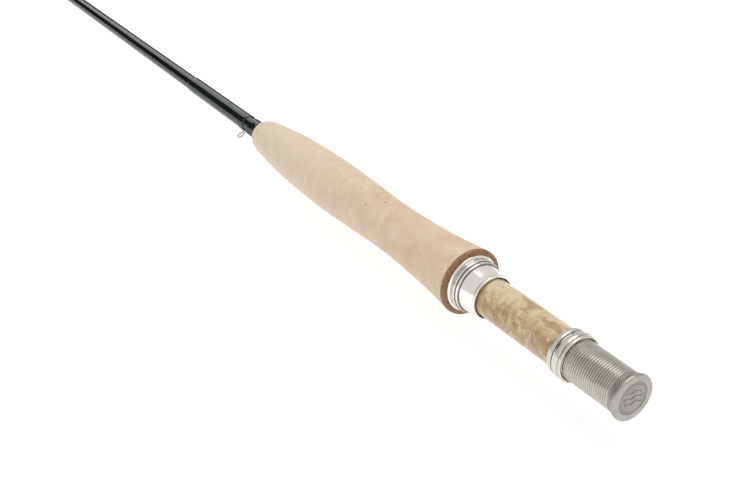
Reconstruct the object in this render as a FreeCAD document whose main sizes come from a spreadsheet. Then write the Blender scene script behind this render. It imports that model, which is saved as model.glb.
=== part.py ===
import FreeCAD, Part
import math
import os
import re
import Sketcher
from FreeCAD import Placement, Rotation, Vector

# A four-piece fly rod, seven feet six inches long, put together.
# Row frame: the rod's axis lies along X, the centre of the butt face is the origin, the butt
# cap faces +X, the tip points to -X, and the guides hang towards -Z.
# Every piece is first built with x as its station, the distance from the butt face towards
# the tip, and is then turned half way round Z.

DIMS = {
    # butt cap
    "cap_diameter": 19.5, "cap_rim_width": 1.5, "cap_flare_length": 3.0, "cap_edge_round": 0.55,
    "cap_spigot_length": 6.0, "medallion_diameter": 13.6, "medallion_thickness": 0.9,
    # threaded barrel
    "barrel_diameter": 17.45, "barrel_bore": 14.6, "barrel_end": 35.6,
    "thread_pitch": 1.15, "thread_depth": 0.42, "thread_start": 5.6,
    # lock nut and slide hood
    "nut_station": 28.4, "nut_length": 5.4, "nut_wall": 1.525, "nut_valley_wall": 0.925,
    "nut_mouth_play": 0.725, "nut_lip_wall": 1.4, "nut_lip_width": 0.9,
    "hood_gap": 0.1, "hood_length": 2.65, "hood_wall": 1.225, "hood_pocket_depth": 0.675,
    "hood_land_length": 1.0, "running_clearance": 0.05,
    # wood insert and its arbors
    "wood_diameter": 17.15, "wood_end": 94.6, "wood_bore": 12.0, "glue_gap": 0.05,
    "mortise_offset": 7.85, "mortise_start": 22.0, "arbor_length": 12.0,
    # fixed hood and stepped check ring
    "mouth_station": 80.9, "mouth_diameter": 20.4, "mouth_lip_width": 0.9,
    "fixed_waist_diameter": 20.0, "fixed_body_diameter": 21.8, "fixed_pocket_diameter": 18.6,
    "fixed_end_wall": 2.0, "fixed_sleeve_diameter": 20.2, "check_station": 90.0,
    "check_step_width": 1.5, "check_step_diameter": 23.2, "check_middle_diameter": 24.0,
    "check_middle_width": 3.2, "check_flange_diameter": 25.5, "check_plate": 1.2,
    "check_plate_bore": 12.2,
    # trim ring and cork grip
    "trim_thickness": 1.25, "trim_diameter": 30.1, "cork_thickness": 12.9,
    "grip_end_radius": 15.0, "grip_heel_radius": 14.1, "grip_thumb_radius": 13.23,
    "grip_hollow_radius": 12.15, "grip_waist_radius": 11.57, "grip_palm_radius": 12.02,
    "grip_swell_radius": 12.81, "grip_shoulder_radius": 12.22, "grip_taper_radius": 10.93,
    "grip_crown_radius": 9.5, "grip_nose_radius": 8.3, "grip_brow_radius": 6.75,
    "grip_front_radius": 4.9,
    "check_band_width": 0.6, "check_band_diameter": 9.5,
    # blank sections
    "section_length": 609.0, "ferrule_overlap": 50.0, "ferrule_clearance": 0.03,
    "socket_extra": 1.5, "blank_start": 6.0,
    "butt_large_diameter": 9.4, "butt_small_diameter": 7.05, "butt_wall": 1.1,
    "second_large_diameter": 8.3, "second_small_diameter": 5.4, "second_wall": 0.75,
    "third_large_diameter": 6.7, "third_small_diameter": 3.6, "third_wall": 0.6,
    "tip_large_diameter": 4.7, "tip_small_diameter": 1.7, "tip_wall": 0.4,
    # hook keeper and the thread wraps over it
    "keeper_wrap_length": 9.0, "keeper_wrap_build": 0.55, "keeper_gap": 3.4,
    "signature_length": 68.0, "signature_build": 0.42, "keeper_wire": 0.7, "keeper_height": 5.2,
    "keeper_foot": 7.0, "keeper_angle": 60.0,
    # ferrule wraps
    "ferrule_wrap_length": 24.0, "ferrule_wrap_build": 0.25,
    # stripping guide
    "stripper_reach": 203.0, "stripper_drop": 11.5, "stripper_ring_radius": 5.4,
    "stripper_ring_wire": 0.8, "stripper_liner": 0.55, "stripper_foot": 13.0,
    "stripper_span": 8.5, "stripper_leg": 1.3,
    # snake guides
    "snake_wire": 0.9, "snake_foot": 7.0, "guide_wrap_length": 8.5, "guide_wrap_build": 0.3,
    # tip top
    "tube_diameter": 3.0, "tube_length": 10.0, "tube_overlap": 8.0, "loop_radius": 4.0,
    "loop_wire": 1.0, "loop_tilt": 20.0, "tip_wrap_length": 6.0, "tip_wrap_build": 0.3,
}
CORK_RINGS = 14
# fraction of the grip's length from its butt end at which each named radius stands
GRIP_OUTLINE = [
    (0.0, "grip_end_radius"), (0.041, "grip_heel_radius"), (0.092, "grip_thumb_radius"),
    (0.185, "grip_hollow_radius"), (0.297, "grip_waist_radius"), (0.416, "grip_palm_radius"),
    (0.59, "grip_swell_radius"), (0.746, "grip_shoulder_radius"), (0.858, "grip_taper_radius"),
    (0.931, "grip_crown_radius"), (0.970, "grip_nose_radius"), (0.989, "grip_brow_radius"),
    (1.0, "grip_front_radius"),
]
SECTIONS = ["butt", "second", "third", "tip"]
# section that carries the guide, end it is measured from, distance from there, loop radius
SNAKE_GUIDES = [
    ("second", "end", 101.2, 3.9), ("third", "start", 215.5, 3.5), ("third", "end", 177.6, 3.2),
    ("tip", "start", 62.9, 2.9), ("tip", "end", 381.0, 2.7), ("tip", "end", 241.3, 2.5),
    ("tip", "end", 114.3, 2.4),
]


# how far the knuckle between a guide's foot and its loop stands proud of the wire
KNUCKLE = 0.04

DOC = FreeCAD.newDocument("fly_rod")
SHEET = DOC.addObject("Spreadsheet::Sheet", "Dims")
AXIS_TURN = Rotation(Vector(0, 1, 0), 90)
ROD_TURN = Placement(Vector(0, 0, 0), Rotation(Vector(0, 0, 1), 180))
NODES = []


def fill_sheet():
    for row, (name, number) in enumerate(DIMS.items(), start=1):
        SHEET.set("A%d" % row, name)
        SHEET.set("B%d" % row, str(number))
        SHEET.setAlias("B%d" % row, name)
    DOC.recompute()


def dim(name):
    return float(SHEET.get(name))


def value(formula):
    """The number a formula stands for: terms joined by + and -, factors joined by * and /."""
    total = 0.0
    for sign, term in re.findall(r"([+-]?)\s*([\w.]+(?:\s*[*/]\s*[\w.]+)*)", formula):
        product = 1.0
        for operator, factor in re.findall(r"([*/]?)\s*([\w.]+)", term):
            number = dim(factor) if factor in DIMS else float(factor)
            product = product / number if operator == "/" else product * number
        total += -product if sign == "-" else product
    return total


def bind(item, target, formula):
    """Ties a property or a sketch constraint to the sheet's cells."""
    text = re.sub(r"[A-Za-z_]\w*", lambda m: "Dims." + m[0] if m[0] in DIMS else m[0], formula)
    item.setExpression(target, text)


def publish(item, label):
    """Names a finished sub-part, turns it into the row frame and puts it on the list."""
    item.Label = label
    item.Placement = ROD_TURN
    NODES.append(item)
    return item


def origin_of(body, role):
    return next(feature for feature in body.Origin.OriginFeatures if feature.Role == role)


def outline_sketch(body, name, outline):
    """A closed outline of (station, radius) formulas, each corner held from the origin."""
    sketch = body.newObject("Sketcher::SketchObject", name)
    sketch.AttachmentSupport = [(origin_of(body, "XZ_Plane"), "")]
    sketch.MapMode = "FlatFace"
    corners = [Vector(value(station), value(radius), 0) for station, radius in outline]
    for index, corner in enumerate(corners):
        sketch.addGeometry(Part.LineSegment(corner, corners[(index + 1) % len(corners)]), False)
    for index in range(len(corners)):
        following = (index + 1) % len(corners)
        sketch.addConstraint(Sketcher.Constraint("Coincident", index, 2, following, 1))
    for index, formulas in enumerate(outline):
        for formula, kind, axis in zip(formulas, ("DistanceX", "DistanceY"), (-2, -1)):
            if formula == "0":
                sketch.addConstraint(Sketcher.Constraint("PointOnObject", index, 1, axis))
                continue
            held = Sketcher.Constraint(kind, -1, 1, index, 1, value(formula))
            number = sketch.addConstraint(held)
            bind(sketch, "Constraints[%d]" % number, formula)
    return sketch


def turned_body(name, outline):
    """A PartDesign body: an outline turned about the rod's axis."""
    body = DOC.addObject("PartDesign::Body", name + "_body")
    sketch = outline_sketch(body, name + "_outline", outline)
    turn = body.newObject("PartDesign::Revolution", name + "_turn")
    turn.Profile = sketch
    turn.ReferenceAxis = (sketch, ["H_Axis"])
    turn.Angle = 360
    DOC.recompute()
    return body


def round_circles(body, name, circles, radius):
    """Fillets the round edges that stand at the given (station, radius) formulas."""
    wanted = [(value(station), value(size)) for station, size in circles]
    solid = body.Tip
    names = []
    for number, edge in enumerate(solid.Shape.Edges, start=1):
        if not isinstance(edge.Curve, Part.Circle):
            continue
        place = (edge.Curve.Center.x, edge.Curve.Radius)
        if any(math.dist(place, spot) < 1e-4 for spot in wanted):
            names.append("Edge%d" % number)
    fillet = body.newObject("PartDesign::Fillet", name + "_round")
    fillet.Base = (solid, names)
    bind(fillet, "Radius", radius)
    body.Tip = fillet
    DOC.recompute()


def rod_cylinder(name, start, length, diameter):
    """A cylinder on the rod's axis."""
    item = DOC.addObject("Part::Cylinder", name)
    item.Placement = Placement(Vector(0, 0, 0), AXIS_TURN)
    bind(item, "Radius", "(" + diameter + ") / 2")
    bind(item, "Height", length)
    bind(item, "Placement.Base.x", start)
    return item


def rod_cone(name, start, length, first_radius, last_radius):
    """A cone on the rod's axis, from its first radius at start to its last."""
    item = DOC.addObject("Part::Cone", name)
    item.Placement = Placement(Vector(0, 0, 0), AXIS_TURN)
    bind(item, "Radius1", first_radius)
    bind(item, "Radius2", last_radius)
    bind(item, "Height", length)
    bind(item, "Placement.Base.x", start)
    return item


def cut(name, base, tool):
    item = DOC.addObject("Part::Cut", name)
    item.Base = base
    item.Tool = tool
    return item


def fuse(name, items):
    item = DOC.addObject("Part::MultiFuse", name)
    item.Shapes = items
    return item


# ---- blank sections

def section_start(index):
    """Formula for the station where a section begins."""
    if index == 0:
        return "0"
    return "%d * section_length - %d * ferrule_overlap" % (index, index)


def start_value(index):
    return index * (dim("section_length") - dim("ferrule_overlap"))


def outer_radius(index, station):
    """A section's outside radius at a station."""
    name = SECTIONS[index]
    large = dim(name + "_large_diameter") / 2
    small = dim(name + "_small_diameter") / 2
    share = (station - start_value(index)) / dim("section_length")
    return large + (small - large) * share


def section_form(index):
    """The solid outer cone of a section, used again to fit what surrounds it."""
    name = SECTIONS[index]
    return rod_cone(name + "_form", section_start(index), "section_length",
                    name + "_large_diameter / 2", name + "_small_diameter / 2")


def butt_blank(form):
    """The lowest section: a tapered tube that begins inside the butt cap."""
    bore = rod_cone("butt_bore", "0", "section_length", "butt_large_diameter / 2 - butt_wall",
                    "butt_small_diameter / 2 - butt_wall")
    foot = rod_cylinder("butt_foot", "0", "blank_start", "cap_diameter")
    publish(cut("butt_section", cut("butt_hollow", form, bore), foot), "butt_blank")


def upper_blank(index, form):
    """A section whose lower end is a socket over the section below."""
    name = SECTIONS[index]
    start = section_start(index)
    below = SECTIONS[index - 1]
    taper = "%s_large_diameter * ferrule_overlap / section_length / 2" % below
    taper += " - %s_small_diameter * ferrule_overlap / section_length / 2" % below
    mouth = "%s_small_diameter / 2 + %s + ferrule_clearance" % (below, taper)
    socket = rod_cone(name + "_socket", start, "ferrule_overlap",
                      mouth, "%s_small_diameter / 2 + ferrule_clearance" % below)
    well = rod_cylinder(name + "_well", start + " + ferrule_overlap", "socket_extra",
                        "%s_small_diameter + 2 * ferrule_clearance" % below)
    bore = rod_cone(name + "_bore", start, "section_length",
                    "%s_large_diameter / 2 - %s_wall" % (name, name),
                    "%s_small_diameter / 2 - %s_wall" % (name, name))
    bored = cut(name + "_bored", form, bore)
    socketed = cut(name + "_socketed", bored, socket)
    publish(cut(name + "_section", socketed, well), "%s_blank" % name)


def wrap_tube(name, label, start, length, diameter, form):
    """Thread wound on a blank: a tube whose bore is the blank's own taper."""
    publish(cut(name, rod_cylinder(name + "_form", start, length, diameter), form), label)


def ferrule_wraps(forms):
    for index in range(1, len(SECTIONS)):
        name = SECTIONS[index]
        wrap_tube(name + "_ferrule_thread", name + "_ferrule_wrap",
                  section_start(index) + " + 0.5", "ferrule_wrap_length",
                  name + "_large_diameter + 2 * ferrule_wrap_build", forms[index])


# ---- reel seat

def butt_cap():
    """Flanged cap with a flared shoulder, a spigot into the barrel and a medallion recess."""
    shoulder = "cap_rim_width + cap_flare_length"
    spigot = "barrel_bore / 2 - glue_gap"
    body = turned_body("cap", [
        ("medallion_thickness", "0"), ("medallion_thickness", "medallion_diameter / 2"),
        ("0", "medallion_diameter / 2"), ("0", "cap_diameter / 2"),
        ("cap_rim_width", "cap_diameter / 2"),
        ("cap_rim_width + 0.3 * cap_flare_length", "barrel_diameter / 2 + 0.35"),
        (shoulder, "barrel_diameter / 2"), (shoulder, spigot),
        (shoulder + " + cap_spigot_length", spigot),
        (shoulder + " + cap_spigot_length", "butt_large_diameter / 2 + glue_gap"),
        (shoulder, "butt_large_diameter / 2 + glue_gap"), (shoulder, "0"),
    ])
    round_circles(body, "cap", [("0", "cap_diameter / 2"), ("cap_rim_width", "cap_diameter / 2")],
                  "cap_edge_round")
    publish(body, "butt_cap")


def cap_medallion():
    """The disc set in the cap, with a ring groove near its edge."""
    groove = [("0", "medallion_diameter / 2 - 0.45"), ("0", "medallion_diameter / 2 - 0.8"),
              ("0.2", "medallion_diameter / 2 - 0.8"), ("0.2", "medallion_diameter / 2 - 0.45")]
    outline = [("medallion_thickness", "0"),
               ("medallion_thickness", "medallion_diameter / 2 - 0.02"),
               ("0", "medallion_diameter / 2 - 0.02"), groove[0], groove[3], groove[2],
               groove[1], ("0", "0")]
    publish(turned_body("medallion", outline), "cap_medallion")


def mortise_tool(name, end):
    """A block that planes the flat where the reel's foot lies."""
    block = DOC.addObject("Part::Box", name)
    bind(block, "Length", end + " - mortise_start")
    bind(block, "Width", "cap_diameter")
    bind(block, "Height", "cap_diameter / 2")
    bind(block, "Placement.Base.x", "mortise_start")
    bind(block, "Placement.Base.y", "0 - cap_diameter / 2")
    bind(block, "Placement.Base.z", "0 - mortise_offset - cap_diameter / 2")
    return block


def threaded_barrel():
    """A tube with rolled thread grooves and the mortise flat at its tip end."""
    start = "cap_rim_width + cap_flare_length"
    body = turned_body("barrel", [
        (start, "barrel_bore / 2"), ("barrel_end", "barrel_bore / 2"),
        ("barrel_end", "barrel_diameter / 2"), (start, "barrel_diameter / 2"),
    ])
    notch = outline_sketch(body, "thread_notch", [
        ("thread_start - 0.36 * thread_pitch", "barrel_diameter / 2 + 0.02"),
        ("thread_start + 0.36 * thread_pitch", "barrel_diameter / 2 + 0.02"),
        ("thread_start + 0.06 * thread_pitch", "barrel_diameter / 2 - thread_depth"),
        ("thread_start - 0.06 * thread_pitch", "barrel_diameter / 2 - thread_depth"),
    ])
    groove = body.newObject("PartDesign::Groove", "thread_groove")
    groove.Profile = notch
    groove.ReferenceAxis = (notch, ["H_Axis"])
    groove.Angle = 360
    DOC.recompute()
    turns = int((dim("barrel_end") - dim("thread_start")) / dim("thread_pitch"))
    pattern = body.newObject("PartDesign::LinearPattern", "thread_turns")
    pattern.Originals = [groove]
    pattern.Direction = (notch, ["H_Axis"])
    bind(pattern, "Length", "%d * thread_pitch" % (turns - 1))
    pattern.Occurrences = turns
    body.Tip = pattern
    DOC.recompute()
    publish(cut("barrel_cut", body, mortise_tool("barrel_mortise", "barrel_end")),
            "threaded_barrel")


def lock_nut():
    """The ring that turns on the thread: two beads, a valley and a chamfered mouth."""
    bore = "barrel_diameter / 2 + running_clearance"
    back = "nut_station + nut_length"
    body = turned_body("nut", [
        ("nut_station", "barrel_diameter / 2 + nut_mouth_play"),
        ("nut_station + nut_lip_width", bore), (back, bore),
        (back, "barrel_diameter / 2 + nut_valley_wall"),
        (back + " - 0.5", "barrel_diameter / 2 + nut_wall - 0.2"),
        (back + " - 1.3", "barrel_diameter / 2 + nut_wall"),
        ("nut_station + 2.2", "barrel_diameter / 2 + nut_wall"),
        ("nut_station + 1.8", "barrel_diameter / 2 + nut_wall - 0.15"),
        ("nut_station + 1.6", "barrel_diameter / 2 + nut_lip_wall - 0.18"),
        ("nut_station + 1.4", "barrel_diameter / 2 + nut_lip_wall"),
        ("nut_station + 0.3", "barrel_diameter / 2 + nut_lip_wall"),
        ("nut_station", "barrel_diameter / 2 + nut_lip_wall - 0.3"),
    ])
    publish(body, "lock_nut")


def slide_hood():
    """The hood that the nut pushes over the foot of a reel: a bead, a valley and a pocket."""
    start = "nut_station + nut_length + hood_gap"
    bore = "barrel_diameter / 2 + running_clearance"
    end = start + " + hood_length"
    body = turned_body("hood", [
        (start, bore), (start + " + hood_land_length", bore),
        (start + " + hood_land_length + 0.3", "barrel_diameter / 2 + hood_pocket_depth"),
        (end, "barrel_diameter / 2 + hood_pocket_depth"), (end, "barrel_diameter / 2 + hood_wall - 0.45"),
        (end + " - 0.4", "barrel_diameter / 2 + hood_wall - 0.1"),
        (end + " - 0.9", "barrel_diameter / 2 + hood_wall"),
        (start + " + 0.7", "barrel_diameter / 2 + hood_wall"),
        (start + " + 0.2", "barrel_diameter / 2 + hood_wall - 0.1"),
        (start, "barrel_diameter / 2 + hood_wall - 0.3"),
    ])
    publish(body, "slide_hood")


def wood_insert():
    """The wood between the hoods, with a tenon in the barrel and the mortise flat."""
    tip = "wood_end"
    tenon = "barrel_bore / 2 - glue_gap"
    tail = "cap_rim_width + cap_flare_length + cap_spigot_length + 0.5"
    body = turned_body("wood", [
        (tail, "wood_bore / 2"), (tip, "wood_bore / 2"), (tip, "wood_diameter / 2"),
        ("barrel_end + glue_gap", "wood_diameter / 2"), ("barrel_end + glue_gap", tenon),
        (tail, tenon),
    ])
    flat = mortise_tool("wood_mortise", "wood_end - fixed_end_wall")
    publish(cut("wood_cut", body, flat), "wood_insert")


def seat_arbors(form):
    """Three sleeves that centre the blank in the wood's bore."""
    first = "cap_rim_width + cap_flare_length + cap_spigot_length + 1.5"
    stations = [first, "mouth_station / 2", "wood_end - arbor_length - 1.0"]
    sleeves = [rod_cylinder("arbor_%d" % number, station, "arbor_length",
                            "wood_bore - 2 * glue_gap")
               for number, station in enumerate(stations, start=1)]
    publish(cut("arbors_cut", fuse("arbors", sleeves), form), "seat_arbors")


def fixed_hood():
    """The hood at the grip: a lipped mouth, a hollow waist and a closed end on the wood."""
    pocket_end = "wood_end - fixed_end_wall"
    body = turned_body("fixed", [
        ("mouth_station", "fixed_pocket_diameter / 2"), (pocket_end, "fixed_pocket_diameter / 2"),
        (pocket_end, "wood_diameter / 2 + glue_gap"), ("wood_end", "wood_diameter / 2 + glue_gap"),
        ("wood_end", "fixed_sleeve_diameter / 2"), ("check_station", "fixed_sleeve_diameter / 2"),
        ("check_station", "fixed_body_diameter / 2"),
        ("check_station - 2.0", "fixed_body_diameter / 2 - 0.3"),
        ("check_station - 5.0", "fixed_waist_diameter / 2 + 0.15"),
        ("mouth_station + 2.6", "fixed_waist_diameter / 2"),
        ("mouth_station + mouth_lip_width + 0.3", "fixed_waist_diameter / 2"),
        ("mouth_station + mouth_lip_width", "mouth_diameter / 2"),
        ("mouth_station + 0.25", "mouth_diameter / 2"),
        ("mouth_station", "mouth_diameter / 2 - 0.25"),
    ])
    publish(body, "fixed_hood")


def check_ring():
    """The stepped ring between the fixed hood and the grip."""
    inner = "fixed_sleeve_diameter / 2 + glue_gap"
    second = "check_station + check_step_width"
    third = second + " + check_middle_width"
    end = "wood_end + check_plate"
    body = turned_body("check", [
        ("check_station", inner), ("wood_end", inner), ("wood_end", "check_plate_bore / 2"),
        (end, "check_plate_bore / 2"), (end, "check_flange_diameter / 2 - 0.3"),
        (end + " - 0.4", "check_flange_diameter / 2"),
        (third + " + 0.5", "check_flange_diameter / 2"), (third, "check_flange_diameter / 2 - 0.4"),
        (third, "check_middle_diameter / 2"), (second + " + 0.9", "check_middle_diameter / 2"),
        (second + " + 0.7", "check_middle_diameter / 2 - 0.25"),
        (second + " + 0.5", "check_middle_diameter / 2"),
        (second, "check_middle_diameter / 2 - 0.1"), (second, "check_step_diameter / 2"),
        ("check_station", "check_step_diameter / 2 - 0.2"),
    ])
    publish(body, "check_ring")


# ---- grip

def trim_start():
    return "wood_end + check_plate"


def trim_ring(form):
    disc = rod_cylinder("trim_disc", trim_start(), "trim_thickness", "trim_diameter")
    publish(cut("trim_cut", disc, form), "trim_ring")


def grip_start():
    return trim_start() + " + trim_thickness"


def grip_form():
    """The whole grip as one turned form; its outline is a smooth curve through named radii."""
    first = value(grip_start())
    length = CORK_RINGS * dim("cork_thickness")
    points = [Vector(first + share * length, 0, dim(name)) for share, name in GRIP_OUTLINE]
    curve = Part.BSplineCurve()
    curve.interpolate(points)
    base = Vector(first, 0, 0)
    end = Vector(first + length, 0, 0)
    edges = [curve.toShape(), Part.makeLine(points[-1], end), Part.makeLine(end, base),
             Part.makeLine(base, points[0])]
    form = DOC.addObject("Part::Feature", "grip_form")
    form.Shape = Part.Face(Part.Wire(edges)).revolve(base, Vector(1, 0, 0), 360)
    return form


def cork_rings(form):
    """Rings of cork glued end to end, turned to the grip's form and reamed to the blank."""
    shape = grip_form()
    for number in range(CORK_RINGS):
        start = grip_start() + " + %d * cork_thickness" % number
        slab = rod_cylinder("cork_slab_%d" % number, start, "cork_thickness", "2 * trim_diameter")
        turned = DOC.addObject("Part::Common", "cork_turned_%d" % number)
        turned.Base = shape
        turned.Tool = slab
        publish(cut("cork_reamed_%d" % number, turned, form), "cork_ring_%02d" % (number + 1))


def grip_end():
    return grip_start() + " + %d * cork_thickness" % CORK_RINGS


# ---- hook keeper and its wraps

def keeper_path():
    """A hairpin wire: a foot, a loop that stands off the blank and a second foot."""
    wrap_end = value(grip_end()) + dim("check_band_width") + dim("keeper_wrap_length")
    middle = wrap_end + dim("keeper_gap") / 2
    low = outer_radius(0, middle) + dim("keeper_wire") / 2 + 0.02
    neck = 0.75
    bend = 0.6
    half = dim("keeper_gap") / 2 - 0.1
    high = low + dim("keeper_height") - half
    foot = dim("keeper_foot")
    corners = [Vector(middle - neck - foot, 0, -low), Vector(middle - neck - bend, 0, -low)]
    quarter = bend * math.sqrt(0.5)
    first = [corners[1], Vector(middle - neck - bend + quarter, 0, -low - bend + quarter),
             Vector(middle - neck, 0, -low - bend)]
    left = Vector(middle - half, 0, -high)
    right = Vector(middle + half, 0, -high)
    crown = Vector(middle, 0, -high - half)
    last = [Vector(2 * middle - p.x, p.y, p.z) for p in reversed(first)]
    edges = [Part.makeLine(corners[0], corners[1]), Part.Arc(*first).toShape(),
             Part.makeLine(first[2], left), Part.Arc(left, crown, right).toShape(),
             Part.makeLine(right, last[0]), Part.Arc(*last).toShape(),
             Part.makeLine(last[2], Vector(2 * middle - corners[0].x, 0, -low))]
    return Part.Wire(edges)


def sweep_wire(path, thickness):
    """A round wire that follows a path."""
    start = path.Edges[0].firstVertex().Point
    edge = path.Edges[0]
    heading = edge.tangentAt(edge.FirstParameter)
    ring = Part.Wire(Part.makeCircle(thickness / 2, start, heading))
    return path.makePipeShell([ring], True, False)


def hook_keeper():
    keeper = DOC.addObject("Part::Feature", "keeper_wire_form")
    keeper.Shape = sweep_wire(keeper_path(), dim("keeper_wire"))
    swing = Placement(Vector(0, 0, 0), Rotation(Vector(1, 0, 0), dim("keeper_angle")))
    keeper.Placement = ROD_TURN.multiply(swing)
    keeper.Label = "hook_keeper"
    NODES.append(keeper)
    local = DOC.addObject("Part::Feature", "keeper_imprint")
    local.Shape = keeper.Shape.copy()
    local.Placement = swing
    return local


def keeper_wraps(form, keeper):
    """Two bands of thread, one over each foot of the keeper; the second is the long one."""
    start = grip_end() + " + check_band_width"
    second = start + " + keeper_wrap_length + keeper_gap"
    bands = [("keeper_wrap", start, "keeper_wrap_length", "keeper_wrap_build"),
             ("signature_wrap", second, "signature_length", "signature_build")]
    for label, station, length, build in bands:
        thickness = "butt_large_diameter - 0.75 + 2 * " + build
        tube = rod_cylinder(label + "_tube", station, length, thickness)
        reamed = cut(label + "_reamed", tube, form)
        publish(cut(label + "_cut", reamed, keeper), label)


def winding_check(form):
    """The small collar in front of the cork."""
    band = rod_cylinder("check_band", grip_end(), "check_band_width", "check_band_diameter")
    publish(cut("check_band_cut", band, form), "winding_check")


# ---- guides

def add_feature(label, shape):
    item = DOC.addObject("Part::Feature", label)
    item.Shape = shape
    return publish(item, label)


def foot_cylinder(start, length, height, radius):
    """A guide foot along the blank, on its guide side."""
    return Part.makeCylinder(radius, length, Vector(start, 0, -height), Vector(1, 0, 0))


def foot_wraps(index, feet, build, wrap_length, foot_radius, guide):
    """Thread over each foot: round the blank, and over the foot where it stands proud."""
    wraps = []
    for start, height in feet:
        radius = outer_radius(index, start) + build
        ring = Part.makeCylinder(radius, wrap_length, Vector(start, 0, 0), Vector(1, 0, 0))
        ridge = foot_cylinder(start, wrap_length, height, foot_radius + build)
        blank = Part.makeCone(outer_radius(index, start), outer_radius(index, start + wrap_length),
                              wrap_length, Vector(start, 0, 0), Vector(1, 0, 0))
        wraps.append(ring.fuse(ridge).cut(blank).cut(guide))
    return Part.makeCompound(wraps)


def snake_guide(number, section, side, distance, loop_radius):
    """One turn of wire between two feet that lie along the blank."""
    index = SECTIONS.index(section)
    station = start_value(index) + distance
    if side == "end":
        station = start_value(index) + dim("section_length") - distance
    wire = dim("snake_wire")
    span = 2.6 * loop_radius
    foot = dim("snake_foot")
    start = station - span / 2
    surface = outer_radius(index, start - foot)
    height = surface + wire / 2 + KNUCKLE + 0.01
    helix = Part.makeHelix(span, span, loop_radius)
    helix.Placement = Placement(Vector(start, 0, -height - loop_radius),
                                Rotation(Vector(0, 1, 0), 90))
    helix.rotate(Vector(start, 0, -height - loop_radius), Vector(1, 0, 0), 180)
    turn = sweep_helix(helix, wire)
    guide = turn
    for joint, way in ((start, -1), (start + span, 1)):
        heel = Vector(joint, 0, -height)
        guide = guide.fuse(Part.makeSphere(wire / 2 + KNUCKLE, heel))
        foot_end = heel + Vector(way * foot, 0, 0)
        near = min(heel.x, foot_end.x)
        guide = guide.fuse(foot_cylinder(near, foot, height, wire / 2))
    add_feature("snake_guide_%d" % number, guide)
    length = dim("guide_wrap_length")
    feet = [(start - 0.6 - length, height), (start + span + 0.6, height)]
    wraps = foot_wraps(index, feet, dim("guide_wrap_build"), length, wire / 2, guide)
    add_feature("guide_wraps_%d" % number, wraps)


def sweep_helix(helix, thickness):
    edge = helix.Edges[0]
    start = edge.valueAt(edge.FirstParameter)
    heading = edge.tangentAt(edge.FirstParameter)
    ring = Part.Wire(Part.makeCircle(thickness / 2, start, heading))
    return Part.Wire(helix.Edges).makePipeShell([ring], True, True)


def stripping_guide():
    """The lowest guide: a lined ring on two pairs of legs that meet a foot each way."""
    index = 1
    station = start_value(index) + dim("stripper_reach")
    foot = dim("stripper_foot")
    leg = dim("stripper_leg") / 2
    span = dim("stripper_span")
    height = outer_radius(index, station - span - foot) + leg + 0.02
    centre = Vector(station, 0, -height - dim("stripper_drop"))
    ring_radius = dim("stripper_ring_radius")
    tube = dim("stripper_ring_wire")
    ring = Part.makeTorus(ring_radius, tube, centre, Vector(1, 0, 0))
    pieces = []
    for way in (-1, 1):
        heel = Vector(station + way * span, 0, -height)
        origin = heel if way > 0 else heel - Vector(foot, 0, 0)
        pieces.append(Part.makeCylinder(leg, foot, origin, Vector(1, 0, 0)))
        pieces.append(Part.makeSphere(leg, heel))
        for side in (-1, 1):
            angle = math.radians(50)
            shoulder = centre + Vector(0, side * ring_radius * math.sin(angle),
                                       ring_radius * math.cos(angle))
            reach = shoulder - heel
            pieces.append(Part.makeCylinder(leg, reach.Length, heel, reach))
    bore = Part.makeCylinder(ring_radius - 0.15, 4 * tube, centre - Vector(2 * tube, 0, 0),
                             Vector(1, 0, 0))
    frame = ring.multiFuse(pieces).cut(bore)
    add_feature("stripping_guide_frame", frame)
    liner = dim("stripper_liner")
    outer = Part.makeCylinder(ring_radius - 0.15, 2 * tube, centre - Vector(tube, 0, 0),
                              Vector(1, 0, 0))
    hole = Part.makeCylinder(ring_radius - 0.15 - liner, 2 * tube, centre - Vector(tube, 0, 0),
                             Vector(1, 0, 0))
    lining = outer.cut(hole)
    add_feature("stripping_guide_liner", lining)
    length = foot - 1.0
    feet = [(station - span - 1.0 - length, height), (station + span + 1.0, height)]
    wraps = foot_wraps(index, feet, dim("guide_wrap_build"), length, leg, frame)
    add_feature("stripping_guide_wraps", wraps)


def tip_top():
    """A tube over the blank's tip that carries a wire loop."""
    end = start_value(3) + dim("section_length")
    start = end - dim("tube_overlap")
    along = Vector(1, 0, 0)
    tube = Part.makeCylinder(dim("tube_diameter") / 2, dim("tube_length"), Vector(start, 0, 0),
                             along)
    bore_radius = outer_radius(3, start) + dim("glue_gap") / 2
    bore = Part.makeCylinder(bore_radius, dim("tube_overlap") + 0.2, Vector(start, 0, 0), along)
    radius = dim("loop_radius")
    wire = dim("loop_wire") / 2
    centre = Vector(start + dim("tube_length") + 0.6, 0, -radius + wire)
    tilt = math.radians(dim("loop_tilt"))
    normal = Vector(math.cos(tilt), 0, math.sin(tilt))
    loop = Part.makeTorus(radius, wire, centre, normal)
    add_feature("tip_top_tube", tube.cut(bore).cut(loop))
    add_feature("tip_top_loop", loop)
    length = dim("tip_wrap_length")
    first = start - length - 0.3
    ring = Part.makeCylinder(outer_radius(3, first) + dim("tip_wrap_build"), length,
                             Vector(first, 0, 0), along)
    blank = Part.makeCone(outer_radius(3, first), outer_radius(3, first + length), length,
                          Vector(first, 0, 0), along)
    add_feature("tip_wrap", ring.cut(blank))


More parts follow.
